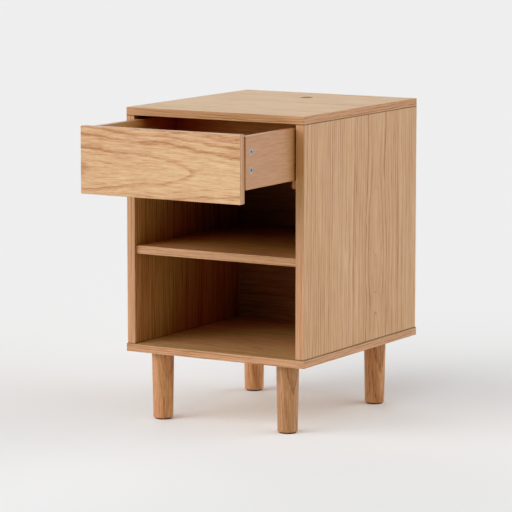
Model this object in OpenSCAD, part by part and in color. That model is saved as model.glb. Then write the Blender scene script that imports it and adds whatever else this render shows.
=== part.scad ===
// Bedside cabinet: an oak-veneered carcass on four turned legs, with one shelf and one inset drawer.
// X runs across the width, Y from front to back, and Z up from the floor.
// The origin lies on the floor, under the middle of the carcass.

/* [Carcass] */
// Width across the two side panels
body_w = 400; // [380:1:440]
// Depth of the side panels
body_d = 460; // [440:1:480]
// Height of the carcass without its legs
body_h = 484; // [470:1:520]
// Thickness of the top and bottom panels
board_t = 16; // [16:1:19]
// Thickness of the side panels
side_t = 18; // [18:1:20]
// How far the bottom panel stands out beyond the side panels
bottom_lip = 1.5; // [0:0.5:3]
// Radius of the eased edges of the boards
edge_r = 0.8; // [0.4:0.1:1.5]
// Thickness of the back panel
back_t = 6; // [5:0.5:8]
// Distance from the back edge of the side panels to the back panel
back_recess = 54; // [50:1:60]
// Diameter of the cable holes in the top panel and the back panel
cable_hole_d = 26; // [20:1:30]
// Distance from the middle of the carcass back to the cable hole in the top panel
cable_hole_y = 133; // [125:1:140]

/* [Shelf] */
// Height of the underside of the shelf above the underside of the carcass
shelf_rise = 195; // [160:1:230]
// Thickness of the shelf
shelf_t = 16; // [16:1:18]
// Distance from the front edge of the side panels to the shelf
shelf_setback = 6; // [2:1:20]

/* [Drawer] */
// How far the drawer stands open at rest
drawer_open = 196; // [0:1:250]
// How far the drawer opens before its pegs meet the stop rail
drawer_travel = 250; // [220:1:260]
// Length of the closed drawer from front to back
drawer_l = 340; // [330:1:345]
// Height of the drawer front
front_h = 130; // [125:1:140]
// Thickness of the drawer front
front_t = 16; // [16:1:18]
// Gap between each end of the drawer front and the side panel
front_gap = 5; // [3:0.5:6]
// Gap between the drawer front and the top panel
front_top_gap = 3; // [2:0.5:3]
// Radius of the eased edges of the drawer front
front_edge_r = 1.5; // [0.5:0.5:3]
// Radius of the four corners of the drawer front
front_corner_r = 2.5; // [1:0.5:5]
// How far the drawer front reaches below the drawer sides, as a finger grip
finger_lip = 26; // [20:1:30]
// Height of the drawer sides and drawer back
drawer_side_h = 100; // [96:1:100]
// Thickness of the drawer sides and drawer back
drawer_side_t = 12; // [12:1:14]
// Gap between each drawer side and the side panel
drawer_gap = 3; // [2:0.5:4]
// Thickness of the drawer bottom
drawer_bottom_t = 5; // [4:0.5:6]

/* [Runners] */
// Width and height of the wooden runners
runner_size = 18; // [16:1:18]
// Distance from the front edge of the side panels to the runners
runner_setback = 17; // [17:1:30]
// Distance from the front edge of the side panels to the kickers above the drawer sides
kicker_setback = 45; // [40:1:60]
// Thickness of the kickers
kicker_t = 6; // [5:0.5:6]

/* [Legs] */
// Length of a leg without its glide
leg_l = 134; // [100:1:160]
// Diameter of a leg where it meets the carcass
leg_top_d = 44.5; // [38:0.5:48]
// Diameter of a leg at its foot
leg_foot_d = 39.5; // [32:0.5:42]
// Radius of the rounded edge at the foot of a leg
leg_foot_r = 3.5; // [1:0.5:4]
// Distance from the side of the carcass to the axis of a leg
leg_inset_x = 57.5; // [50:0.5:70]
// Distance from the front of the carcass to the axis of a front leg
leg_inset_front = 39.5; // [35:0.5:60]
// Distance from the back of the carcass to the axis of a back leg
leg_inset_back = 66.5; // [50:0.5:70]
// Thickness of a glide
glide_t = 2; // [1:0.5:4]

/* [Hidden] */
$fn = 64;

// Colours
oak = "burlywood";
oak_front = "#E3BE93";
oak_solid = "#C98F5E";
runner_wood = "#C9A28A";
beech = "#E0C9A0";
fibreboard = "#B98F6A";
steel = "silver";
zinc = "#A8A8A4";
dark_plastic = "#2E2A28";
clear_rubber = "#D8D8D0";

// How far a cutting shape reaches past the face that it cuts
cut = 1;
// Gap between a pin and the wall of its hole
fit = 0.05;
// Gap between faces that slide past each other or meet at a stop
slide_gap = 0.1;

// Main planes of the carcass
base_z = leg_l + glide_t;
top_z = base_z + body_h;
side_z0 = base_z + board_t;
side_z1 = top_z - board_t;
out_x = body_w / 2;
in_x = out_x - side_t;
side_mid_x = out_x - side_t / 2;
front_y = -body_d / 2;
rear_y = body_d / 2;
back_y1 = rear_y - back_recess;
back_y0 = back_y1 - back_t;
shelf_z0 = base_z + shelf_rise;
shelf_z1 = shelf_z0 + shelf_t;

// Grooves that hold the back panel
groove_depth = 6;
groove_play = 0.2;
back_edge = groove_depth - 0.5;

// Drawer, in its closed place
front_z1 = side_z1 - front_top_gap;
front_z0 = front_z1 - front_h;
front_x = in_x - front_gap;
drawer_x1 = in_x - drawer_gap;
drawer_x0 = drawer_x1 - drawer_side_t;
drawer_z0 = front_z0 + finger_lip;
drawer_z1 = drawer_z0 + drawer_side_h;
box_y0 = front_y + front_t;
box_y1 = front_y + drawer_l;
drawer_back_y = box_y1 - drawer_side_t;
drawer_bottom_z = drawer_z0 + 8;

// Runners, kickers and stops
runner_z1 = drawer_z0 - slide_gap;
runner_z0 = runner_z1 - runner_size;
runner_y0 = front_y + runner_setback;
runner_y1 = back_y0 - 20;
kicker_w = 17;
kicker_z0 = side_z1 - kicker_t;
kicker_y0 = front_y + kicker_setback;
peg_d = 9;
peg_h = 5;
peg_shank_d = 6;
peg_shank_l = 14;
peg_x = 80;
peg_y = box_y1 - drawer_side_t / 2;
rail_t = 5;
rail_w = 20;
rail_y1 = peg_y - peg_d / 2 - drawer_travel - slide_gap;
rail_y0 = rail_y1 - rail_w;
rail_x = in_x - kicker_w - 0.5;
bumper_d = 10;
bumper_t = 3;
block_l = 20;
block_h = 20;
block_w = 14;
block_y0 = box_y1 + slide_gap + bumper_t;
block_x = (drawer_x0 + drawer_x1) / 2;

// Dowels
dowel_d = 8;
dowel_l = 30;
dowel_in_face = 11;
small_dowel_d = 6;
carcass_dowel_y = [-150, 140];
shelf_dowel_y = [-140, 110];

// Cam locks of the carcass: [diameter, height, distance from the joint, bore, thread, neck]
cam = [15, 13.5, 24, 7, 5, 5];
// Cam locks of the drawer
small_cam = [12, 9.5, 20, 6, 5, 4];
cam_thread_l = 10.5;
cam_collar_h = 1.5;
cam_head_l = 4;
cam_bore_reach = 3;
carcass_cam_y = [-195, 110];
shelf_cam_y = [-190, 70];
drawer_cam_z = [front_z1 - 68.7, front_z1 - 33.5];
drawer_dowel_z = front_z1 - 51;

// Screws: [shank diameter, length, head diameter]
runner_screw = [4, 30, 8];
rail_screw = [3, 14, 6];
block_screw = [3.5, 36, 7];
drawer_screw = [4, 36, 8];
runner_screw_y = [-185, -45, 95];
kicker_screw_y = [-160, -20, 120];
rail_screw_x = [-100, 100];
drawer_screw_rise = [22, 76];

// Bottom screws: a thick shank in the bottom panel and a thinner thread in the side panel
bottom_screw_head_d = 10;
bottom_screw_shank_d = 7;
bottom_screw_thread_d = 5;
bottom_screw_l = 50;
bottom_screw_y = [-195, 0, 110];

// Legs
leg_x = out_x - leg_inset_x;
front_leg_y = front_y + leg_inset_front;
back_leg_y = rear_y - leg_inset_back;
leg_places = [
    [-leg_x, front_leg_y], [leg_x, front_leg_y], [-leg_x, back_leg_y], [leg_x, back_leg_y]
];
leg_bolt_d = 8;
leg_bolt_in_leg = 40;
leg_bolt_in_panel = 12;
insert_d = 11;
insert_h = 13;
glide_d = leg_foot_d - 2 * leg_foot_r + 1;
glide_nail_d = 2.5;
glide_nail_l = 14;

// A block between two opposite corners
module block(low, high) {
    translate(low) cube(high - low);
}

// A rectangle with rounded corners, from the origin
module rounded_rectangle(width, height, r) {
    translate([0, r]) square([width, height - 2 * r]);
    translate([r, 0]) square([width - 2 * r, height]);
    for (x = [r, width - r], y = [r, height - r]) {
        translate([x, y]) circle(r = r);
    }
}

// A block whose twelve edges are eased; the four edges along Y may have a radius of their own
module board(low, high, r = edge_r, y_edge_r = 0) {
    size = high - low;
    translate(low) intersection() {
        linear_extrude(size[2]) rounded_rectangle(size[0], size[1], r);
        rotate([90, 0, 90]) linear_extrude(size[0]) rounded_rectangle(size[1], size[2], r);
        translate([0, size[1], 0]) rotate([90, 0, 0]) linear_extrude(size[1]) {
            rounded_rectangle(size[0], size[2], max(r, y_edge_r));
        }
    }
}

// Rotation that turns +Z towards a named direction
function turn(dir) =
    dir == "+x" ? [0, 90, 0] :
    dir == "-x" ? [0, -90, 0] :
    dir == "+y" ? [-90, 0, 0] :
    dir == "-y" ? [90, 0, 0] :
    dir == "-z" ? [180, 0, 0] : [0, 0, 0];

// Stands its children at a point, with their +Z along a named direction
module aim(point, dir) {
    translate(point) rotate(turn(dir)) children();
}

// A drilled hole from the face at z = 0 towards +Z
module drill(d, depth) {
    translate([0, 0, -cut]) cylinder(d = d, h = depth + cut);
}

// The same children on the right and, mirrored, on the left
module both_sides() {
    children();
    mirror([1, 0, 0]) children();
}

// The drawer's children at their opening at rest
module opened() {
    translate([0, -drawer_open, 0]) children();
}

// A wooden dowel along +Z with chamfered ends
module dowel(d, length) {
    chamfer = 1;
    cylinder(d1 = d - 2 * chamfer, d2 = d, h = chamfer);
    translate([0, 0, chamfer]) cylinder(d = d, h = length - 2 * chamfer);
    translate([0, 0, length - chamfer]) cylinder(d1 = d, d2 = d - 2 * chamfer, h = chamfer);
}

// A countersunk wood screw: head at z = 0, tip towards +Z
module screw(size) {
    d = size[0];
    head_h = (size[2] - d) / 2;
    slot_w = d / 4;
    slot_l = size[2] / 2;
    slot_h = head_h * 0.8;
    difference() {
        union() {
            cylinder(d1 = size[2], d2 = d, h = head_h);
            cylinder(d = d, h = size[1] - d);
            translate([0, 0, size[1] - d]) cylinder(d1 = d, d2 = d / 4, h = d);
        }
        for (angle = [0, 90]) {
            rotate(angle) block([-slot_l / 2, -slot_w / 2, -cut], [slot_l / 2, slot_w / 2, slot_h]);
        }
    }
}

// The countersunk hole for such a screw
module screw_hole(size) {
    d = size[0] + 2 * fit;
    head_d = size[2] + 2 * fit;
    translate([0, 0, -cut]) cylinder(d = head_d, h = cut);
    cylinder(d1 = head_d, d2 = d, h = (size[2] - size[0]) / 2);
    cylinder(d = d, h = size[1] + 1);
}

// A cam lock: face at z = 0, body towards +Z, mouth for its bolt towards +X
module cam_lock(size, bolt_depth) {
    dish_h = 0.8;
    slot_w = size[0] / 7;
    slot_l = size[0] * 0.56;
    slot_h = 2.2;
    difference() {
        cylinder(d = size[0], h = size[1]);
        aim([-cam_bore_reach, 0, bolt_depth], "+x") cylinder(d = size[3], h = size[0]);
        translate([0, 0, -cut]) cylinder(d = size[0] * 0.66, h = dish_h + cut);
        for (angle = [0, 90]) {
            rotate(angle) block([-slot_l / 2, -slot_w / 2, 0], [slot_l / 2, slot_w / 2, slot_h]);
        }
    }
}

// A cam bolt: thread towards -Z in the face of one board, neck and head towards +Z in its cam lock
module cam_bolt(size) {
    translate([0, 0, -cam_thread_l]) cylinder(d = size[4], h = cam_thread_l);
    cylinder(d = size[3] - 0.8, h = cam_collar_h);
    cylinder(d = size[5], h = size[2]);
    translate([0, 0, size[2] - cam_head_l / 2]) cylinder(d = size[3] - 0.5, h = cam_head_l);
}

// The holes for a cam lock in the face of a board, as in cam_lock
module cam_hole(size) {
    drill(size[0] + 2 * fit, size[1] + 0.1);
}

// A screw of the bottom panel, from its underside
module bottom_screw() {
    head_h = (bottom_screw_head_d - bottom_screw_shank_d) / 2;
    key_d = 4;
    difference() {
        union() {
            cylinder(d1 = bottom_screw_head_d, d2 = bottom_screw_shank_d, h = head_h);
            cylinder(d = bottom_screw_shank_d, h = board_t);
            cylinder(d = bottom_screw_thread_d, h = bottom_screw_l);
        }
        translate([0, 0, -cut]) cylinder(d = key_d, h = head_h + 2 + cut, $fn = 6);
    }
}

// Its hole through the bottom panel
module bottom_screw_hole() {
    head_h = (bottom_screw_head_d - bottom_screw_shank_d) / 2;
    translate([0, 0, -cut]) cylinder(d = bottom_screw_head_d + 2 * fit, h = cut);
    cylinder(d1 = bottom_screw_head_d + 2 * fit, d2 = bottom_screw_shank_d + 2 * fit, h = head_h);
    cylinder(d = bottom_screw_shank_d + 2 * fit, h = board_t + cut);
}

// Carcass panels

module top_panel() {
    color(oak) difference() {
        board([-out_x, front_y, side_z1], [out_x, rear_y, top_z]);
        aim([0, cable_hole_y, side_z1], "+z") drill(cable_hole_d, board_t + cut);
        block(
            [-in_x - groove_depth, back_y0, side_z1 - cut],
            [in_x + groove_depth, back_y1 + groove_play, side_z1 + groove_depth]
        );
        both_sides() {
            for (y = carcass_dowel_y) {
                aim([side_mid_x, y, side_z1], "+z") drill(dowel_d + 2 * fit, dowel_in_face);
            }
            for (y = carcass_cam_y) {
                aim([side_mid_x, y, side_z1], "+z") drill(cam[4] + 2 * fit, cam_thread_l + 0.5);
            }
            for (y = kicker_screw_y) {
                aim([in_x - kicker_w / 2, y, side_z1], "+z") {
                    drill(rail_screw[0] + 2 * fit, rail_screw[1] - kicker_t + 1);
                }
            }
        }
        for (x = rail_screw_x) {
            aim([x, (rail_y0 + rail_y1) / 2, side_z1], "+z") {
                drill(rail_screw[0] + 2 * fit, rail_screw[1] - rail_t + 1);
            }
        }
    }
}

module bottom_panel() {
    lip = bottom_lip;
    color(oak) difference() {
        board([-out_x - lip, front_y - lip, base_z], [out_x + lip, rear_y + lip, side_z0]);
        block(
            [-in_x - groove_depth, back_y0, side_z0 - groove_depth],
            [in_x + groove_depth, back_y1 + groove_play, side_z0 + cut]
        );
        both_sides() {
            for (y = carcass_dowel_y) {
                aim([side_mid_x, y, side_z0], "-z") drill(dowel_d + 2 * fit, dowel_in_face);
            }
            for (y = bottom_screw_y) {
                aim([side_mid_x, y, base_z], "+z") bottom_screw_hole();
            }
        }
        for (place = leg_places) {
            aim([place[0], place[1], base_z], "+z") drill(insert_d + 2 * fit, insert_h);
        }
    }
}

module right_side_panel() {
    color(oak) difference() {
        board([in_x, front_y, side_z0], [out_x, rear_y, side_z1]);
        block(
            [in_x - cut, back_y0, side_z0 - cut],
            [in_x + groove_depth, back_y1 + groove_play, side_z1 + cut]
        );
        for (y = carcass_dowel_y) {
            aim([side_mid_x, y, side_z1], "-z") drill(dowel_d + 2 * fit, dowel_l - dowel_in_face);
            aim([side_mid_x, y, side_z0], "+z") drill(dowel_d + 2 * fit, dowel_l - dowel_in_face);
        }
        for (y = carcass_cam_y) {
            aim([side_mid_x, y, side_z1], "-z") drill(cam[3], cam[2]);
            aim([in_x, y, side_z1 - cam[2]], "+x") cam_hole(cam);
        }
        for (y = bottom_screw_y) {
            aim([side_mid_x, y, side_z0], "+z") {
                drill(bottom_screw_thread_d + 2 * fit, bottom_screw_l - board_t + 1);
            }
        }
        for (y = shelf_dowel_y) {
            aim([in_x, y, shelf_z0 + shelf_t / 2], "+x") drill(dowel_d + 2 * fit, dowel_in_face);
        }
        for (y = shelf_cam_y) {
            aim([in_x, y, shelf_z0 + shelf_t / 2], "+x") drill(cam[4] + 2 * fit, cam_thread_l + 0.5);
        }
        for (y = runner_screw_y) {
            aim([in_x, y, runner_z0 + runner_size / 2], "+x") {
                drill(runner_screw[0] + 2 * fit, runner_screw[1] - runner_size + 1);
            }
        }
    }
}

module left_side_panel() {
    mirror([1, 0, 0]) right_side_panel();
}

module back_panel() {
    outlet_z = (drawer_z0 + drawer_z1) / 2;
    color(oak) difference() {
        block(
            [-in_x - back_edge, back_y0, side_z0 - groove_depth],
            [in_x + back_edge, back_y1, side_z1 + back_edge]
        );
        aim([0, back_y0, outlet_z], "+y") drill(cable_hole_d, back_t + cut);
    }
}

module shelf() {
    mid_z = shelf_z0 + shelf_t / 2;
    color(oak) difference() {
        board([-in_x, front_y + shelf_setback, shelf_z0], [in_x, back_y0, shelf_z1]);
        both_sides() {
            for (y = shelf_dowel_y) {
                aim([in_x, y, mid_z], "-x") drill(dowel_d + 2 * fit, dowel_l - dowel_in_face);
            }
            for (y = shelf_cam_y) {
                aim([in_x, y, mid_z], "-x") drill(cam[3], cam[2]);
                aim([in_x - cam[2], y, shelf_z0], "+z") cam_hole(cam);
            }
        }
    }
}

// Carcass fasteners

module top_dowels() {
    color(beech) both_sides() {
        for (y = carcass_dowel_y) {
            aim([side_mid_x, y, side_z1 - dowel_l + dowel_in_face], "+z") dowel(dowel_d, dowel_l);
        }
    }
}

module top_cam_locks() {
    color(steel) both_sides() {
        for (y = carcass_cam_y) {
            aim([in_x, y, side_z1 - cam[2]], "+x") rotate(180) cam_lock(cam, side_t / 2);
        }
    }
}

module top_cam_bolts() {
    color(zinc) both_sides() {
        for (y = carcass_cam_y) {
            aim([side_mid_x, y, side_z1], "-z") cam_bolt(cam);
        }
    }
}

module shelf_dowels() {
    color(beech) both_sides() {
        for (y = shelf_dowel_y) {
            aim([in_x + dowel_in_face, y, shelf_z0 + shelf_t / 2], "-x") dowel(dowel_d, dowel_l);
        }
    }
}

module shelf_cam_locks() {
    color(steel) both_sides() {
        for (y = shelf_cam_y) {
            aim([in_x - cam[2], y, shelf_z0], "+z") cam_lock(cam, shelf_t / 2);
        }
    }
}

module shelf_cam_bolts() {
    color(zinc) both_sides() {
        for (y = shelf_cam_y) {
            aim([in_x, y, shelf_z0 + shelf_t / 2], "-x") cam_bolt(cam);
        }
    }
}

module bottom_dowels() {
    color(beech) both_sides() {
        for (y = carcass_dowel_y) {
            aim([side_mid_x, y, side_z0 - dowel_in_face], "+z") dowel(dowel_d, dowel_l);
        }
    }
}

module bottom_screws() {
    color(zinc) both_sides() {
        for (y = bottom_screw_y) {
            aim([side_mid_x, y, base_z], "+z") bottom_screw();
        }
    }
}

// Runners, kickers and stops

module right_runner() {
    color(runner_wood) difference() {
        board([in_x - runner_size, runner_y0, runner_z0], [in_x, runner_y1, runner_z1]);
        for (y = runner_screw_y) {
            aim([in_x - runner_size, y, runner_z0 + runner_size / 2], "+x") screw_hole(runner_screw);
        }
        aim([block_x, block_y0 + block_l / 2, runner_z1], "-z") {
            drill(block_screw[0] + 2 * fit, block_screw[1] - block_h + 0.5);
        }
    }
}

module left_runner() {
    mirror([1, 0, 0]) right_runner();
}

module runner_screws() {
    color(zinc) both_sides() {
        for (y = runner_screw_y) {
            aim([in_x - runner_size, y, runner_z0 + runner_size / 2], "+x") screw(runner_screw);
        }
    }
}

module right_kicker() {
    color(runner_wood) difference() {
        board([in_x - kicker_w, kicker_y0, kicker_z0], [in_x, runner_y1, side_z1]);
        for (y = kicker_screw_y) {
            aim([in_x - kicker_w / 2, y, kicker_z0], "+z") screw_hole(rail_screw);
        }
    }
}

module left_kicker() {
    mirror([1, 0, 0]) right_kicker();
}

module stop_rail() {
    color(runner_wood) difference() {
        board([-rail_x, rail_y0, side_z1 - rail_t], [rail_x, rail_y1, side_z1]);
        for (x = rail_screw_x) {
            aim([x, (rail_y0 + rail_y1) / 2, side_z1 - rail_t], "+z") screw_hole(rail_screw);
        }
    }
}

module top_rail_screws() {
    color(zinc) {
        both_sides() {
            for (y = kicker_screw_y) {
                aim([in_x - kicker_w / 2, y, kicker_z0], "+z") screw(rail_screw);
            }
        }
        for (x = rail_screw_x) {
            aim([x, (rail_y0 + rail_y1) / 2, side_z1 - rail_t], "+z") screw(rail_screw);
        }
    }
}

module right_stop_block() {
    low = [block_x - block_w / 2, block_y0, runner_z1];
    color(runner_wood) difference() {
        board(low, low + [block_w, block_l, block_h]);
        aim([block_x, block_y0 + block_l / 2, runner_z1 + block_h], "-z") screw_hole(block_screw);
    }
}

module left_stop_block() {
    mirror([1, 0, 0]) right_stop_block();
}

module stop_block_screws() {
    color(zinc) both_sides() {
        aim([block_x, block_y0 + block_l / 2, runner_z1 + block_h], "-z") screw(block_screw);
    }
}

module stop_bumpers() {
    color(clear_rubber) both_sides() {
        aim([block_x, block_y0, runner_z1 + block_h / 2], "-y") {
            cylinder(d1 = bumper_d, d2 = bumper_d - 2, h = bumper_t);
        }
    }
}

// Legs

// Half of the outline of a leg, from its axis outwards, with a rounded edge at the foot
function leg_outline() =
    let (top_r = leg_top_d / 2, foot_r = leg_foot_d / 2, r = leg_foot_r) concat(
        [[0, 0]],
        [for (angle = [-90 : 10 : 0]) [foot_r - r + r * cos(angle), r + r * sin(angle)]],
        [[top_r, leg_l], [0, leg_l]]
    );

module leg(index) {
    place = leg_places[index];
    color(oak_solid) difference() {
        translate([place[0], place[1], glide_t]) rotate_extrude() polygon(leg_outline());
        aim([place[0], place[1], base_z], "-z") drill(leg_bolt_d + 2 * fit, leg_bolt_in_leg);
        aim([place[0], place[1], glide_t], "+z") drill(glide_nail_d + 2 * fit, glide_nail_l);
    }
}

module front_left_leg() {
    leg(0);
}

module front_right_leg() {
    leg(1);
}

module back_left_leg() {
    leg(2);
}

module back_right_leg() {
    leg(3);
}

module glide(index) {
    place = leg_places[index];
    chamfer = 0.5;
    color(dark_plastic) translate([place[0], place[1], 0]) {
        cylinder(d1 = glide_d - 2 * chamfer, d2 = glide_d, h = chamfer);
        translate([0, 0, chamfer]) cylinder(d = glide_d, h = glide_t - chamfer);
        cylinder(d = glide_nail_d, h = glide_t + glide_nail_l - 1);
    }
}

module front_left_glide() {
    glide(0);
}

module front_right_glide() {
    glide(1);
}

module back_left_glide() {
    glide(2);
}

module back_right_glide() {
    glide(3);
}

module leg_bolts() {
    color(zinc) {
        for (place = leg_places) {
            translate([place[0], place[1], base_z - leg_bolt_in_leg]) {
                cylinder(d = leg_bolt_d, h = leg_bolt_in_leg + leg_bolt_in_panel);
            }
        }
    }
}

module leg_inserts() {
    color(zinc) {
        for (place = leg_places) {
            translate([place[0], place[1], base_z]) difference() {
                cylinder(d = insert_d, h = insert_h);
                translate([0, 0, -cut]) cylinder(d = leg_bolt_d + 2 * fit, h = insert_h + 2 * cut);
            }
        }
    }
}

// Drawer

module drawer_front() {
    color(oak_front) opened() difference() {
        board(
            [-front_x, front_y, front_z0], [front_x, box_y0, front_z1],
            front_edge_r, front_corner_r
        );
        block(
            [-drawer_x0 - groove_depth, box_y0 - groove_depth, drawer_bottom_z],
            [drawer_x0 + groove_depth, box_y0 + cut, drawer_bottom_z + drawer_bottom_t + groove_play]
        );
        both_sides() {
            for (z = drawer_cam_z) {
                aim([block_x, box_y0, z], "-y") drill(small_cam[4] + 2 * fit, cam_thread_l + 0.5);
            }
            aim([block_x, box_y0, drawer_dowel_z], "-y") {
                drill(small_dowel_d + 2 * fit, dowel_in_face);
            }
        }
    }
}

module right_drawer_side() {
    color(oak_front) opened() difference() {
        board([drawer_x0, box_y0, drawer_z0], [drawer_x1, box_y1, drawer_z1]);
        block(
            [drawer_x0 - cut, box_y0 - cut, drawer_bottom_z],
            [
                drawer_x0 + groove_depth,
                drawer_back_y + groove_depth,
                drawer_bottom_z + drawer_bottom_t + groove_play
            ]
        );
        for (z = drawer_cam_z) {
            aim([block_x, box_y0, z], "+y") drill(small_cam[3], small_cam[2]);
            aim([drawer_x1, box_y0 + small_cam[2], z], "-x") cam_hole(small_cam);
        }
        aim([block_x, box_y0, drawer_dowel_z], "+y") {
            drill(small_dowel_d + 2 * fit, dowel_l - dowel_in_face);
        }
        for (rise = drawer_screw_rise) {
            aim([drawer_x1, box_y1 - drawer_side_t / 2, drawer_z0 + rise], "-x") {
                screw_hole(drawer_screw);
            }
        }
    }
}

module left_drawer_side() {
    mirror([1, 0, 0]) right_drawer_side();
}

module drawer_back() {
    color(oak_front) opened() difference() {
        board([-drawer_x0, drawer_back_y, drawer_z0], [drawer_x0, box_y1, drawer_z1]);
        block(
            [-drawer_x0 - cut, drawer_back_y - cut, drawer_bottom_z],
            [
                drawer_x0 + cut,
                drawer_back_y + groove_depth,
                drawer_bottom_z + drawer_bottom_t + groove_play
            ]
        );
        both_sides() {
            for (rise = drawer_screw_rise) {
                aim([drawer_x0, box_y1 - drawer_side_t / 2, drawer_z0 + rise], "-x") {
                    drill(drawer_screw[0] + 2 * fit, drawer_screw[1] - drawer_side_t + 1);
                }
            }
            aim([peg_x, peg_y, drawer_z1], "-z") drill(peg_shank_d + 2 * fit, peg_shank_l + 1);
        }
    }
}

module drawer_bottom() {
    edge = groove_depth - 0.5;
    color(beech) opened() block(
        [-drawer_x0 - edge, box_y0 - edge, drawer_bottom_z],
        [drawer_x0 + edge, drawer_back_y + edge, drawer_bottom_z + drawer_bottom_t]
    );
}

module drawer_cam_locks() {
    color(steel) opened() both_sides() {
        for (z = drawer_cam_z) {
            aim([drawer_x1, box_y0 + small_cam[2], z], "-x") rotate(-90) {
                cam_lock(small_cam, drawer_side_t / 2);
            }
        }
    }
}

module drawer_cam_bolts() {
    color(zinc) opened() both_sides() {
        for (z = drawer_cam_z) {
            aim([block_x, box_y0, z], "+y") cam_bolt(small_cam);
        }
    }
}

module drawer_front_dowels() {
    color(beech) opened() both_sides() {
        aim([block_x, box_y0 - dowel_in_face, drawer_dowel_z], "+y") dowel(small_dowel_d, dowel_l);
    }
}

module drawer_back_screws() {
    color(zinc) opened() both_sides() {
        for (rise = drawer_screw_rise) {
            aim([drawer_x1, box_y1 - drawer_side_t / 2, drawer_z0 + rise], "-x") screw(drawer_screw);
        }
    }
}

module drawer_stop_pegs() {
    color(dark_plastic) opened() both_sides() {
        aim([peg_x, peg_y, drawer_z1], "-z") cylinder(d = peg_shank_d, h = peg_shank_l);
        aim([peg_x, peg_y, drawer_z1], "+z") cylinder(d = peg_d, h = peg_h);
    }
}

top_panel();
bottom_panel();
left_side_panel();
right_side_panel();
back_panel();
shelf();
top_dowels();
top_cam_locks();
top_cam_bolts();
shelf_dowels();
shelf_cam_locks();
shelf_cam_bolts();
bottom_dowels();
bottom_screws();
left_runner();
right_runner();
runner_screws();
left_kicker();
right_kicker();
stop_rail();
top_rail_screws();
left_stop_block();
right_stop_block();
stop_block_screws();
stop_bumpers();
front_left_leg();
front_right_leg();
back_left_leg();
back_right_leg();
front_left_glide();
front_right_glide();
back_left_glide();
back_right_glide();
leg_bolts();
leg_inserts();
drawer_front();
left_drawer_side();
right_drawer_side();
drawer_back();
drawer_bottom();
drawer_cam_locks();
drawer_cam_bolts();
drawer_front_dowels();
drawer_back_screws();
drawer_stop_pegs();
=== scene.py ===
"""Looks of the bedside cabinet: oak veneer and solid oak, drawer fittings, floor, light and camera."""

import math

import bpy
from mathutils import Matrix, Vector


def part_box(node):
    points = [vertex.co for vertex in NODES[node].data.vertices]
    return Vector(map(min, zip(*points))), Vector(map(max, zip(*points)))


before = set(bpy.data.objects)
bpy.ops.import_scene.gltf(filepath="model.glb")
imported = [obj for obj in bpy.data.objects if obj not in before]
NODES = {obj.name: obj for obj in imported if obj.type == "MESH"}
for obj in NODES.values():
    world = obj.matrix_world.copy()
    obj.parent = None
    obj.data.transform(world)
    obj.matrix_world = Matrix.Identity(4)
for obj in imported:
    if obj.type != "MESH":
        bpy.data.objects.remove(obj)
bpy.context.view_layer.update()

# Axes of the shared frame
X, Y, Z = 0, 1, 2


# ---------------------------------------------------------------- node helpers


class Graph:
    """Short forms for building a shader or group tree."""

    def __init__(self, tree):
        self.tree = tree

    def node(self, kind, values=None, **settings):
        """A new node. values maps input names or numbers to a socket or a constant."""
        made = self.tree.nodes.new(kind)
        for name, value in settings.items():
            setattr(made, name, value)
        for name, value in (values or {}).items():
            self.put(made.inputs[name], value)
        return made

    def put(self, socket, value):
        """Links a socket, or sets a constant."""
        if isinstance(value, bpy.types.NodeSocket):
            self.tree.links.new(value, socket)
        else:
            socket.default_value = value

    def math(self, operation, *values, clamp=False):
        """One sum on sockets or constants."""
        node = self.node("ShaderNodeMath", dict(enumerate(values)), operation=operation)
        node.use_clamp = clamp
        return node.outputs[0]

    def vector(self, x, y, z):
        """A vector from three numbers."""
        return self.node("ShaderNodeCombineXYZ", {0: x, 1: y, 2: z}).outputs[0]

    def parts(self, vector):
        """The three numbers of a vector."""
        return self.node("ShaderNodeSeparateXYZ", {0: vector}).outputs

    def mix(self, factor, a, b):
        """Mixes two numbers."""
        node = self.node("ShaderNodeMix", {0: factor, 2: a, 3: b}, data_type="FLOAT")
        return node.outputs[0]

    def mix_color(self, factor, a, b):
        """Mixes two colours."""
        node = self.node("ShaderNodeMix", {0: factor, 6: a, 7: b}, data_type="RGBA")
        return node.outputs[2]

    def noise(self, vector, detail=2.0, roughness=0.5, scale=1.0):
        """Smooth noise between 0 and 1."""
        values = {"Vector": vector, "Scale": scale, "Detail": detail, "Roughness": roughness}
        return self.node("ShaderNodeTexNoise", values).outputs["Fac"]

    def span(self, value, low, high, to_low=0.0, to_high=1.0, smooth=False):
        """Maps low..high to to_low..to_high, held at both ends."""
        values = {0: value, 1: low, 2: high, 3: to_low, 4: to_high}
        node = self.node("ShaderNodeMapRange", values)
        if smooth:
            node.interpolation_type = "SMOOTHSTEP"
        return node.outputs[0]

    def ramp(self, factor, stops):
        """A colour from a number, between stops of (place, colour)."""
        node = self.node("ShaderNodeValToRGB", {0: factor})
        ramp = node.color_ramp
        while len(ramp.elements) < len(stops):
            ramp.elements.new(0.5)
        for element, (place, color) in zip(ramp.elements, stops):
            element.position = place
            element.color = (*color, 1.0)
        return node.outputs[0]

    def surface(self, values):
        """A Principled shader, as the material's surface."""
        shader = self.node("ShaderNodeBsdfPrincipled", values)
        self.node("ShaderNodeOutputMaterial", {"Surface": shader.outputs[0]})


def blank(name):
    """A material with no nodes, and the graph to fill."""
    material = bpy.data.materials.new(name)
    material.use_nodes = True
    material.node_tree.nodes.clear()
    return material, Graph(material.node_tree)


def linear(red, green, blue):
    """Scene-linear colour from the usual 0 to 255 display values."""
    def one(value):
        value /= 255
        return value / 12.92 if value <= 0.04045 else ((value + 0.055) / 1.055) ** 2.4
    return one(red), one(green), one(blue)


# ---------------------------------------------------------------- oak

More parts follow.
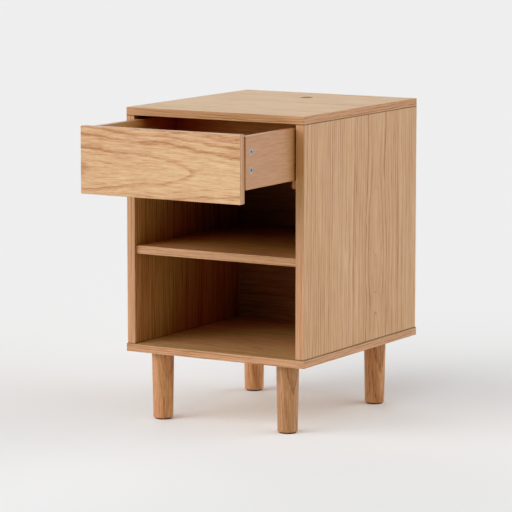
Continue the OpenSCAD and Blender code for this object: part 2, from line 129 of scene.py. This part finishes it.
# Noises of the figure: cells per metre along and across the grain, and a shift that sets each one apart
SLOW_SWINGS = (4.0, 5.0, 3.1)
WAVY_SWINGS = (15.0, 22.0, 7.7)
QUICK_SWINGS = (42.0, 60.0, 1.3)
SWELLS = (5.5, 3.0, 12.0)
RAGGED_EDGES = (26.0, 420.0, 5.0)
COARSE_PORES = (34.0, 330.0, 2.0)
FINE_PORES = (80.0, 1300.0, 6.0)
FIBRES = (14.0, 240.0, 9.0)
FINE_FIBRES = (34.0, 620.0, 15.0)
CLOUDS = (2.4, 10.0, 4.0)

# Shares of the swings that move the heart line, in parts of Warp
SLOW_SHARE, WAVY_SHARE, QUICK_SHARE = 2.0, 0.7, 0.3
# How much the widths of the rings vary, in rings, the scale of that noise, and how ragged their edges are
RING_VARIATION, RING_SCALE, RING_RAGGEDNESS = 1.8, 0.7, 0.5
# A ring line is drawn as if the rings were cut at least this steeply
LEAST_STEEPNESS = 0.12
# The noise of the lines' strengths: how many lines a metre with the grain counts for, and its scale
STRENGTH_RUN, STRENGTH_SCALE = 4.0, 1.9
# The share of a line's width over which it starts, and the noise values where it is weakest and strongest
LINE_START = 0.2
LINE_STRENGTHS = (0.38, 0.64)
# Fine lines between the rings: how many to a ring, how wide, where they start, and how strong
FINE_LINES, FINE_WIDTH, FINE_START, FINE_STRENGTH = 2.7, 0.7, 0.37, 0.5
# The noise values where pores begin and where they are fully open, and how strong the coarse ones are
COARSE_OPENING, FINE_OPENING = (0.50, 0.68), (0.55, 0.72)
COARSE_STRENGTH = 0.85
# How open pores are between the ring lines, and how much more in them
PORES_BETWEEN, PORES_IN_LINES = 0.4, 0.6
# The share of fine fibres in the fibre figure
FINE_FIBRE_SHARE = 0.35

GRAIN_INPUTS = ("Along", "Across", "Deep")
FIGURE_INPUTS = (
    "Seed", "Heart across", "Heart deep", "Taper", "Ring", "Warp", "Swell", "Brevity", "Band", "Evenness",
)
FIGURE_OUTPUTS = ("Line", "Dash", "Fibre", "Cloud")


def oak_group():
    """The figure of oak as a node group.

    It works in grain coordinates, in metres: Along runs with the grain, Across and Deep are square to it.
    The growth rings are tapering cylinders round a heart line, so a flat cut shows cathedral arches near
    that line and straight lines away from it. Each ring starts with a band of open pores and fades out.
    """
    tree = bpy.data.node_groups.new("oak_figure", "ShaderNodeTree")
    for name in GRAIN_INPUTS + FIGURE_INPUTS:
        tree.interface.new_socket(name, in_out="INPUT", socket_type="NodeSocketFloat")
    for name in FIGURE_OUTPUTS:
        tree.interface.new_socket(name, in_out="OUTPUT", socket_type="NodeSocketFloat")
    g = Graph(tree)
    given = g.node("NodeGroupInput").outputs
    along, across, deep = (given[name] for name in GRAIN_INPUTS)
    seed = given["Seed"]
    shortened = g.math("MULTIPLY", along, given["Brevity"])

    def streaks(cells, detail=2.0, roughness=0.5, run=shortened):
        """Noise whose cells are long with the grain."""
        along_scale, across_scale, shift = cells
        stretched = g.vector(
            g.math("MULTIPLY_ADD", run, along_scale, g.math("ADD", seed, shift)),
            g.math("MULTIPLY_ADD", across, across_scale, seed),
            g.math("MULTIPLY", deep, across_scale),
        )
        return g.noise(stretched, detail=detail, roughness=roughness)

    def swing(cells, share):
        """A smooth wave to both sides of zero."""
        wave = streaks(cells, detail=1.0, run=along)
        return g.math("MULTIPLY", g.math("SUBTRACT", wave, 0.5), share)

    # The heart line wanders: slow swings over the board, and small quick ones along a line
    wander = g.math("ADD", swing(SLOW_SWINGS, SLOW_SHARE), swing(WAVY_SWINGS, WAVY_SHARE))
    wander = g.math("ADD", wander, swing(QUICK_SWINGS, QUICK_SHARE))
    wander = g.math("MULTIPLY", wander, given["Warp"])
    side = g.math("ADD", g.math("SUBTRACT", across, given["Heart across"]), wander)
    rise = g.math("SUBTRACT", deep, given["Heart deep"])
    radius = g.math("SQRT", g.math("MULTIPLY_ADD", side, side, g.math("MULTIPLY", rise, rise)))
    slant = g.math("DIVIDE", side, radius)
    steepness = g.math("SQRT", g.math("MULTIPLY_ADD", slant, slant, g.math("POWER", given["Taper"], 2.0)))
    steepness = g.math("MAXIMUM", steepness, LEAST_STEEPNESS)

    # Close to the heart line the rings swell in and out along the grain, which closes some into loops
    flatness = g.math("SUBTRACT", 1.0, g.math("MULTIPLY", slant, slant))
    swell = g.math("MULTIPLY", swing(SWELLS, 1.0), g.math("MULTIPLY", given["Swell"], flatness))
    radius = g.math("ADD", radius, g.math("MULTIPLY", along, given["Taper"]))
    radius = g.math("ADD", radius, swell)
    rings = g.math("DIVIDE", radius, given["Ring"])

    # Ring widths vary, and the edges of a ring are as ragged as its pores
    widths = g.noise(g.vector(rings, seed, 0.0), scale=RING_SCALE)
    rings = g.math("MULTIPLY_ADD", widths, RING_VARIATION, rings)
    ragged = g.math("SUBTRACT", streaks(RAGGED_EDGES, detail=3.0, roughness=0.65), 0.5)
    ragged = g.math("MULTIPLY", ragged, g.math("MULTIPLY", steepness, RING_RAGGEDNESS))

    def ring_lines(spacing, thickness, shift, weakest):
        """Lines that start sharply and fade, as wide on a slanting cut as on a square one."""
        counted = g.math("MULTIPLY_ADD", rings, spacing, g.math("MULTIPLY_ADD", ragged, spacing, shift))
        place = g.math("FRACT", counted)
        width = g.math("MULTIPLY", steepness, thickness)
        sharp = g.math("MULTIPLY", width, LINE_START)
        drawn = g.math("MULTIPLY", g.span(place, 0.0, sharp), g.span(place, sharp, width, 1.0, 0.0))
        which = g.vector(
            g.math("FLOOR", counted),
            g.math("MULTIPLY", shortened, STRENGTH_RUN),
            g.math("ADD", seed, shift),
        )
        strength = g.span(g.noise(which, scale=STRENGTH_SCALE), *LINE_STRENGTHS, weakest, 1.0)
        return g.math("MULTIPLY", drawn, strength)

    bold_lines = ring_lines(1.0, given["Band"], 0.0, given["Evenness"])
    fine_lines = ring_lines(FINE_LINES, FINE_WIDTH, FINE_START, 0.0)
    line = g.math("MAXIMUM", bold_lines, g.math("MULTIPLY", fine_lines, FINE_STRENGTH))

    # Open pores show as short dashes, most of them in the ring lines
    coarse = g.span(streaks(COARSE_PORES, roughness=0.6), *COARSE_OPENING)
    fine = g.span(streaks(FINE_PORES, detail=1.0), *FINE_OPENING)
    dash = g.math("MAXIMUM", g.math("MULTIPLY", coarse, COARSE_STRENGTH), fine)
    dash = g.math("MULTIPLY", dash, g.math("MULTIPLY_ADD", line, PORES_IN_LINES, PORES_BETWEEN))

    fibre = streaks(FIBRES, detail=4.0, roughness=0.7)
    fibre = g.mix(FINE_FIBRE_SHARE, fibre, streaks(FINE_FIBRES, detail=1.0))
    cloud = streaks(CLOUDS)

    out = g.node("NodeGroupOutput")
    for name, value in zip(FIGURE_OUTPUTS, (line, dash, fibre, cloud)):
        g.put(out.inputs[name], value)
    return tree


OAK_FIGURE = oak_group()

# An edge band's figure is this much finer than a face's, and starts at another place
EDGE_ZOOM, EDGE_START = 2.3, 0.35
# A face counts as square to an axis when its normal keeps at least this share of that axis
FACING = 0.7
# Spans from a noise value to a share of tone: low, high, share at low, share at high
FIBRE_TONE, CLOUD_TONE = (0.36, 0.64, 0.0, 0.52), (0.25, 0.75, -0.10, 0.12)
# The eased edges are painted paler, as a painted highlight with some wear from handling, most where no axis
# has much of the normal, and unevenly along the edge
HIGHLIGHT_AND_WEAR_BY_NORMAL, HIGHLIGHT_AND_WEAR_BY_CLOUD = (0.80, 0.98, 0.45, 0.0), (0.35, 0.65, 0.2, 1.0)
# Relief: how low pores and ring lines lie, how high fibres stand, and the depth of it all in metres
PORE_RELIEF, LINE_RELIEF, FIBRE_RELIEF, RELIEF_DEPTH = 0.8, 0.3, 0.35, 0.0002
# How far roughness varies to both sides with the fibres, and how much rougher open pores are
ROUGHNESS_SPREAD, PORE_DULLNESS = 0.05, 0.1
# Pale, middle and dark tones of each wood, and where they stand on the scale of tones
TONE_STOPS = (0.0, 0.38, 1.0)
FRONT_VENEER = (linear(209, 173, 134), linear(192, 152, 110), linear(156, 104, 60))
TOP_VENEER = (linear(201, 165, 121), linear(187, 148, 103), linear(151, 104, 60))
SIDE_VENEER = (linear(197, 164, 126), linear(183, 144, 101), linear(150, 99, 54))
INNER_VENEER = (linear(208, 174, 135), linear(192, 154, 113), linear(153, 107, 66))
EDGE_BAND = (linear(197, 154, 116), linear(180, 135, 95), linear(145, 94, 56))
FRONT_BAND = (linear(198, 158, 122), linear(182, 139, 101), linear(147, 98, 60))
SOLID_OAK = (linear(206, 157, 114), linear(183, 129, 88), linear(134, 84, 50))
DRAWER_WOOD = (linear(180, 137, 100), linear(169, 123, 86), linear(145, 99, 65))
# A paler copy of the drawer wood: painted light that lifts the drawer's shaded inside faces
PAINTED_LIGHT_DRAWER_WOOD = (linear(200, 156, 111), linear(188, 141, 96), linear(161, 113, 73))
JOINT_SHADE_COLOR = (*linear(70, 42, 24), 1.0)
# How far from a joint line its painted shade is full, where it ends, and how strong it is. The dark line is
# painted shade that stands in for the shadow in the groove between the boards. It shows only on faces whose
# normal has less than this much of Z.
JOINT_CORE, JOINT_END, JOINT_STRENGTH, JOINT_UPRIGHT = 0.0004, 0.0014, 0.75, 0.98


def oak(name, grain, across, seed, heart=(0.0, 0.05), taper=0.02, ring=0.012, warp=0.02, swell=0.01,
        brevity=1.0, band=0.5, evenness=0.3, lines=0.5, dashes=0.4, colors=SIDE_VENEER,
        edge_colors=EDGE_BAND, edge_lines=0.9, joints=(), roughness=0.46, gloss=0.5, is_board=True):
    """An oak material for a part whose grain runs along one axis of the frame.

    heart is the heart line's place along the across axis and along the third one, in metres. ring is the
    width of a growth ring, band the share of it that its line takes, and evenness the strength of the
    weakest line. warp and swell are how far the rings wander, and brevity is below 1 for long streaks.
    lines, edge_lines and dashes are how dark the ring lines and the pores show. The narrow faces of a board
    are edge bands with close straight lines, and joints are the heights where it meets its neighbours; there
    a dark line of painted shade stands in for the shadow in the groove between the boards.
    """
    material, g = blank(name)
    coordinates = g.node("ShaderNodeTexCoord")
    place = g.parts(coordinates.outputs["Object"])
    normal = [g.math("ABSOLUTE", part) for part in g.parts(coordinates.outputs["Normal"])]
    thin = 3 - grain - across
    along, side, deep = place[grain], place[across], place[thin]
    if is_board:
        on_end = g.math("GREATER_THAN", normal[grain], FACING)
        on_edge = g.math("LESS_THAN", normal[thin], FACING)
        along = g.mix(on_end, place[grain], place[across])
        side = g.mix(on_edge, place[across], g.math("MULTIPLY_ADD", place[thin], EDGE_ZOOM, EDGE_START))
        deep = g.mix(on_edge, place[thin], g.mix(on_end, place[across], place[grain]))
    figured = g.node("ShaderNodeGroup")
    figured.node_tree = OAK_FIGURE
    settings = (seed, *heart, taper, ring, warp, swell, brevity, band, evenness)
    for key, value in zip(GRAIN_INPUTS + FIGURE_INPUTS, (along, side, deep, *settings)):
        g.put(figured.inputs[key], value)
    line, dash, fibre, cloud = (figured.outputs[key] for key in FIGURE_OUTPUTS)

    # The tone runs from pale at 0 to dark at 1: fibres and clouds first, then ring lines and pores
    tone = g.math("ADD", g.span(fibre, *FIBRE_TONE), g.span(cloud, *CLOUD_TONE))
    line_share = g.mix(on_edge, lines, edge_lines) if is_board else lines
    tone = g.math("ADD", tone, g.math("MULTIPLY", line, line_share))
    tone = g.math("ADD", tone, g.math("MULTIPLY", dash, dashes), clamp=True)
    color = g.ramp(tone, list(zip(TONE_STOPS, colors)))
    if is_board:
        color = g.mix_color(on_edge, color, g.ramp(tone, list(zip(TONE_STOPS, edge_colors))))
        # The eased edges are painted a little paler: a painted highlight, with some wear from handling
        flat = g.math("MAXIMUM", g.math("MAXIMUM", normal[X], normal[Y]), normal[Z])
        edge_highlight_and_wear = g.math("MULTIPLY", g.span(flat, *HIGHLIGHT_AND_WEAR_BY_NORMAL), g.span(cloud, *HIGHLIGHT_AND_WEAR_BY_CLOUD))
        color = g.mix_color(edge_highlight_and_wear, color, (*colors[0], 1.0))
    # Painted shade: a dark line along each joint, standing in for the shadow in the groove between the
    # boards
    for height in joints:
        gap = g.math("ABSOLUTE", g.math("SUBTRACT", place[Z], height))
        upright = g.math("LESS_THAN", normal[Z], JOINT_UPRIGHT)
        shade = g.math("MULTIPLY", upright, g.span(gap, JOINT_CORE, JOINT_END, JOINT_STRENGTH, 0.0))
        color = g.mix_color(shade, color, JOINT_SHADE_COLOR)

    # Pores and ring lines lie lower than the fibres round them, and pores are rougher
    relief = g.math("ADD", g.math("MULTIPLY", dash, PORE_RELIEF), g.math("MULTIPLY", line, LINE_RELIEF))
    relief = g.math("SUBTRACT", g.math("MULTIPLY", fibre, FIBRE_RELIEF), relief)
    bump = g.node("ShaderNodeBump", {"Strength": 0.3, "Distance": RELIEF_DEPTH, "Height": relief})
    dullness = g.span(fibre, 0.2, 0.8, roughness - ROUGHNESS_SPREAD, roughness + ROUGHNESS_SPREAD)
    dullness = g.math("ADD", dullness, g.math("MULTIPLY", dash, PORE_DULLNESS))
    g.surface({
        "Base Color": color, "Normal": bump.outputs[0], "Roughness": dullness, "IOR": 1.45,
        "Specular IOR Level": gloss,
    })
    return material


# Plain materials: how fine their grit is in cells per metre, how far roughness varies to both sides, the
# share of the colour that is left where it is darkest, and the noise values between which both change
GRIT_SCALE, GRIT_SPREAD, GRIT_DARKEST, GRIT_SPAN = 900.0, 0.05, 0.8, (0.3, 0.7)


def plain(name, color, roughness, metallic=0.0):
    """A painted, moulded or plated material with a fine unevenness."""
    material, g = blank(name)
    place = g.node("ShaderNodeTexCoord").outputs["Object"]
    uneven = g.noise(place, detail=3.0, scale=GRIT_SCALE)
    base = linear(*color)
    darkest = tuple(value * GRIT_DARKEST for value in base)
    bump = g.node("ShaderNodeBump", {"Strength": 0.15, "Distance": 0.0001, "Height": uneven})
    g.surface({
        "Base Color": g.ramp(uneven, list(zip(GRIT_SPAN, (darkest, base)))),
        "Metallic": metallic,
        "Roughness": g.span(uneven, *GRIT_SPAN, roughness - GRIT_SPREAD, roughness + GRIT_SPREAD),
        "Normal": bump.outputs[0],
    })
    return material


def paint(material, *names):
    """Gives CAD nodes a material."""
    for name in names:
        slots = NODES[name].data.materials
        slots.clear()
        slots.append(material)


def scaled(colors, share):
    """The same tones, lighter or darker."""
    return tuple(tuple(value * share for value in color) for color in colors)


def middle(name):
    """The middle of a CAD node's box."""
    low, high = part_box(name)
    return (Vector(low) + Vector(high)) / 2


BOTTOM_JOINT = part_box("bottom_panel")[1][Z]
TOP_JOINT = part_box("top_panel")[0][Z]

# Carcass
paint(
    oak("top_oak", X, Y, seed=1.0, heart=(-0.05, 0.50), taper=0.01, brevity=0.6, lines=0.42, dashes=0.35,
        colors=TOP_VENEER, joints=(TOP_JOINT,), roughness=0.52, gloss=0.4),
    "top_panel",
)
paint(
    oak("bottom_oak", X, Y, seed=2.0, heart=(0.05, 0.05), taper=0.02, lines=0.7, colors=INNER_VENEER,
        joints=(BOTTOM_JOINT,)),
    "bottom_panel",
)
# Each side panel's seed, the heart line's place along Y and X from the panel's middle, swell and lines.
# The right one's heart line lies close behind its face, so a loop shows. The left one's is far off.
SIDES = {
    "right_side": (3.0, (0.06, -0.02), 0.05, 0.8),
    "left_side": (4.0, (0.32, -0.04), 0.016, 0.7),
}
for board, (seed, offset, swell, lines) in SIDES.items():
    center = middle(f"{board}_panel")
    paint(
        oak(f"{board}_oak", Z, Y, seed=seed, heart=(center.y + offset[0], center.x + offset[1]),
            taper=0.006, warp=0.006, swell=swell, ring=0.008, brevity=0.4, evenness=0.05, lines=lines,
            joints=(BOTTOM_JOINT, TOP_JOINT)),
        f"{board}_panel",
    )
# The back panel takes the inner veneer painted darker: painted shade deep inside the carcass
paint(
    oak("back_oak", X, Z, seed=5.0, heart=(0.33, 0.11), taper=0.01, brevity=0.6, lines=0.35, dashes=0.3,
        colors=scaled(INNER_VENEER, 0.6)),
    "back_panel",
)
paint(
    oak("shelf_oak", X, Y, seed=6.0, heart=(0.0, 0.28), taper=0.01, lines=0.7, colors=INNER_VENEER),
    "shelf",
)

# Drawer: a bold arch across the front, and plainer wood behind it
front_middle = middle("drawer_front")
paint(
    oak("front_oak", X, Z, seed=7.0, heart=(front_middle.z - 0.014, front_middle.y + 0.049), taper=0.05,
        warp=0.012, swell=0.004, band=0.8, evenness=0.6, lines=0.52, dashes=0.6,
        colors=FRONT_VENEER, edge_colors=FRONT_BAND),
    "drawer_front",
)
PLAIN_WOOD = {
    "ring": 0.006, "lines": 0.16, "dashes": 0.2, "edge_lines": 0.4,
    "colors": DRAWER_WOOD, "edge_colors": DRAWER_WOOD,
}
# The drawer's back, bottom and left side take the paler copy: painted light on the faces seen inside the
# drawer
PAINTED_LIGHT_WOOD = {**PLAIN_WOOD, "colors": PAINTED_LIGHT_DRAWER_WOOD}
paint(oak("drawer_side_oak", Y, Z, seed=8.0, heart=(0.2, 0.3), **PLAIN_WOOD), "right_drawer_side")
paint(oak("left_drawer_side_oak", Y, Z, seed=8.0, heart=(0.2, 0.3), **PAINTED_LIGHT_WOOD), "left_drawer_side")
paint(oak("drawer_back_oak", X, Z, seed=9.0, heart=(0.2, 0.1), **PAINTED_LIGHT_WOOD), "drawer_back")
paint(oak("drawer_bottom_oak", X, Y, seed=10.0, heart=(0.3, 0.4), **PAINTED_LIGHT_WOOD), "drawer_bottom")
paint(
    oak("runner_oak", Y, Z, seed=11.0, heart=(0.2, 0.3), **PLAIN_WOOD),
    "left_runner", "right_runner", "left_kicker", "right_kicker", "left_stop_block", "right_stop_block",
)
paint(oak("rail_oak", X, Y, seed=12.0, heart=(0.4, 0.1), **PLAIN_WOOD), "stop_rail")

# Legs, each cut from a different length of wood, so its grain differs. The front right one is darker and the
# back left one a little paler.
LEG_TONES = {
    "front_left_leg": SOLID_OAK,
    "front_right_leg": scaled(SOLID_OAK, 0.74),
    "back_left_leg": scaled(SOLID_OAK, 1.05),
    "back_right_leg": SOLID_OAK,
}
for number, leg in enumerate(LEG_TONES):
    axis = middle(leg)
    paint(
        oak(f"{leg}_oak", Z, X, seed=20.0 + 3.0 * number, heart=(axis.x - 0.035, axis.y + 0.02), taper=0.04,
            ring=0.0045, warp=0.006, swell=0.004, lines=0.45, dashes=0.5, colors=LEG_TONES[leg],
            is_board=False),
        leg,
    )

# Fittings
paint(
    plain("beech", (215, 185, 140), 0.6),
    "top_dowels", "bottom_dowels", "shelf_dowels", "drawer_front_dowels",
)
paint(
    plain("nickel", (168, 180, 186), 0.35, metallic=1.0),
    "top_cam_locks", "shelf_cam_locks", "drawer_cam_locks",
)
paint(
    plain("zinc", (170, 170, 168), 0.4, metallic=1.0),
    "top_cam_bolts", "shelf_cam_bolts", "drawer_cam_bolts", "bottom_screws", "runner_screws",
    "top_rail_screws", "stop_block_screws", "drawer_back_screws", "leg_bolts", "leg_inserts",
)
paint(
    plain("glide_plastic", (48, 38, 32), 0.6),
    "front_left_glide", "front_right_glide", "back_left_glide", "back_right_glide", "drawer_stop_pegs",
)
paint(plain("clear_rubber", (205, 205, 198), 0.5), "stop_bumpers")


# ---------------------------------------------------------------- floor, light and camera

FLOOR_HALF = 30.0
FLOOR_GREY = 0.90
corners = ((-1, -1), (1, -1), (1, 1), (-1, 1))
floor_mesh = bpy.data.meshes.new("floor")
floor_mesh.from_pydata([(x * FLOOR_HALF, y * FLOOR_HALF, 0.0) for x, y in corners], [], [(0, 1, 2, 3)])
floor = bpy.data.objects.new("floor", floor_mesh)
bpy.context.scene.collection.objects.link(floor)
floor_material = bpy.data.materials.new("floor")
floor_material.use_nodes = True
floor_shader = floor_material.node_tree.nodes["Principled BSDF"]
floor_shader.inputs["Base Color"].default_value = (FLOOR_GREY, FLOOR_GREY, FLOOR_GREY, 1.0)
floor_shader.inputs["Roughness"].default_value = 0.9
floor_shader.inputs["Specular IOR Level"].default_value = 0.0
floor_mesh.materials.append(floor_material)

# The studio: wide soft boxes all round, each with its azimuth from +X towards +Y, its elevation and strength
SOFT_BOXES = {
    "key, front left": (225, 12, 5.3),
    "fill, front": (270, 42, 2.2),
    "fill, right": (0, 42, 0.8),
    "fill, low right": (0, 12, 1.55),
    "rim, back right": (45, 12, 3.1),
    "rim, back left": (135, 12, 2.6),
    "side, left": (180, 12, 0.65),
    "top": (0, 90, 0.4),
}
# Each box is at full strength within 8 degrees of its middle, and has faded out at 38
BOX_CORE, BOX_RIM = math.cos(math.radians(8)), math.cos(math.radians(38))
# How bright the wall is that the camera sees past the floor
WALL_LEVEL = 0.85
world = bpy.data.worlds.new("studio")
bpy.context.scene.world = world
world.use_nodes = True
world.node_tree.nodes.clear()
g = Graph(world.node_tree)
direction = g.node("ShaderNodeTexCoord").outputs["Generated"]
light = 0.0
for azimuth, elevation, strength in SOFT_BOXES.values():
    level = math.cos(math.radians(elevation))
    toward = (
        level * math.cos(math.radians(azimuth)), level * math.sin(math.radians(azimuth)),
        math.sin(math.radians(elevation)),
    )
    facing = g.node("ShaderNodeVectorMath", {0: direction, 1: toward}, operation="DOT_PRODUCT")
    lobe = g.span(facing.outputs["Value"], BOX_RIM, BOX_CORE, 0.0, strength, smooth=True)
    light = g.math("ADD", light, lobe)
# Past the far edge of the floor the camera sees a plain pale wall, not the soft boxes
seen = g.node("ShaderNodeLightPath").outputs["Is Camera Ray"]
sky = g.node("ShaderNodeBackground", {"Strength": g.mix(seen, light, WALL_LEVEL)})
g.put(g.node("ShaderNodeOutputWorld").inputs["Surface"], sky.outputs[0])

# How the picture is developed: shown grey levels before and after, out of 255, which deepen the shadows
DEVELOPED = (
    (20, 4), (40, 22), (60, 50), (80, 71), (100, 98), (125, 127), (150, 152), (200, 206), (225, 229),
)
view = bpy.context.scene.view_settings
view.view_transform = "Standard"
view.use_curve_mapping = True
COMBINED = 3
tones = view.curve_mapping.curves[COMBINED]
for before, after in DEVELOPED:
    tones.points.new(linear(before, before, before)[0], linear(after, after, after)[0])
view.curve_mapping.update()

# The camera looks at the middle of the carcass from the front right, a little from above
AIM = Vector((-0.0525, 0.0189, 0.3057))
YAW, PITCH, DISTANCE = math.radians(30.595), math.radians(8.08), 6.0682
# Sensor and lens in millimetres, and how far the camera sees in metres
SENSOR, LENS, FARTHEST = 36.0, 211.64, 200.0
camera_data = bpy.data.cameras.new("camera")
camera_data.sensor_width = SENSOR
camera_data.lens = LENS
camera_data.clip_end = FARTHEST
camera = bpy.data.objects.new("camera", camera_data)
backwards = Vector((math.sin(YAW) * math.cos(PITCH), -math.cos(YAW) * math.cos(PITCH), math.sin(PITCH)))
camera.location = AIM + backwards * DISTANCE
camera.rotation_mode = "QUATERNION"
camera.rotation_quaternion = backwards.to_track_quat("Z", "Y")
bpy.context.scene.collection.objects.link(camera)
bpy.context.scene.camera = camera
